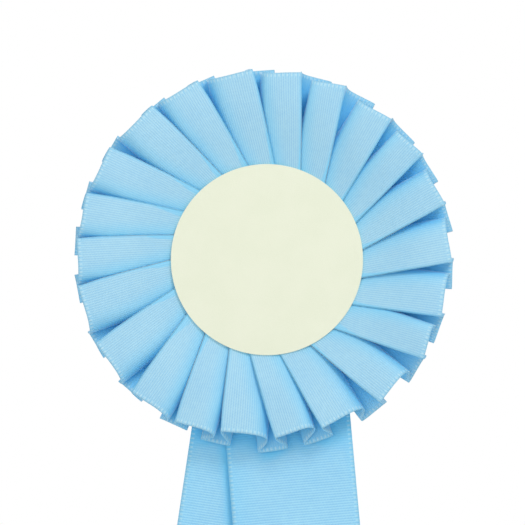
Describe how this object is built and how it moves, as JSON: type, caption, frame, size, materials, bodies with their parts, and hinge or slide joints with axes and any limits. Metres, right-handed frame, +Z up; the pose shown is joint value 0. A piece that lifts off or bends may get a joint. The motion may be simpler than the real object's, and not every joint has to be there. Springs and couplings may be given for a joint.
{
  "type": "award ribbon rosette",
  "caption": "Pleated satin rosette with a blank round centre card, two ribbon tails and a bar pin with a turning safety catch behind.",
  "frame": {"origin": "centre of the front face of the centre disc, on the rosette's axis", "axes": "+Z up, the front of the rosette faces -Y, +X to the right of someone who faces it"},
  "size_m": [0.1148, 0.0205, 0.2622],
  "materials": {
    "ruffle_ribbon": "sky blue ribbed satin ribbon",
    "tail_ribbon": "sky blue ribbed satin ribbon",
    "centre_card": "smooth matt cream card",
    "backing_card": "plain grey-white board",
    "foam": "white closed-cell foam tape",
    "thread": "twisted sewing thread",
    "staple_wire": "galvanised wire",
    "pin_plate": "nickel plate",
    "needle_steel": "polished steel",
    "adhesive": "foam adhesive tape"
  },
  "bodies": {
    "rosette": {"centre_disc": "centre_card", "centre_foam_pad": "foam", "pleated_ruffle": "ruffle_ribbon", "pleat_stitching": "thread", "ruffle_staples": "staple_wire", "backing_card": "backing_card", "tail_right_anchor": "tail_ribbon", "tail_left_anchor": "tail_ribbon", "tail_staples": "staple_wire", "rear_foam_pad": "foam", "rear_cover_card": "backing_card", "pin_adhesive_strip": "adhesive", "pin_bar": "pin_plate", "pin_hinge_rivet": "needle_steel", "pin_catch_hood": "pin_plate"},
    "tail_right_ribbon": {"tail_right": "tail_ribbon"},
    "tail_left_ribbon": {"tail_left": "tail_ribbon"},
    "needle": {"pin_needle": "needle_steel"},
    "catch_rotor": {"pin_catch_rotor": "pin_plate"}
  },
  "joints": [
    {"name": "needle_hinge", "type": "hinge", "parent": "rosette", "child": "needle", "pos_m": [-0.013, 0.0105, 0.012], "axis": [0, 0, 1], "range_deg": [0, 70]},
    {"name": "catch_turn", "type": "hinge", "parent": "rosette", "child": "catch_rotor", "pos_m": [0.014, 0.0105, 0.012], "axis": [1, 0, 0], "range_deg": [0, 140]},
    {"name": "tail_right_swing", "type": "hinge", "parent": "rosette", "child": "tail_right_ribbon", "pos_m": [0, 0.0048, -0.033], "axis": [1, 0, 0], "range_deg": [0, 60]},
    {"name": "tail_left_swing", "type": "hinge", "parent": "rosette", "child": "tail_left_ribbon", "pos_m": [0, 0.0048, -0.033], "axis": [1, 0, 0], "range_deg": [0, 60]}
  ],
  "couplings": [
    {"joint": "tail_left_swing", "follows": "tail_right_swing", "ratio": 1}
  ]
}
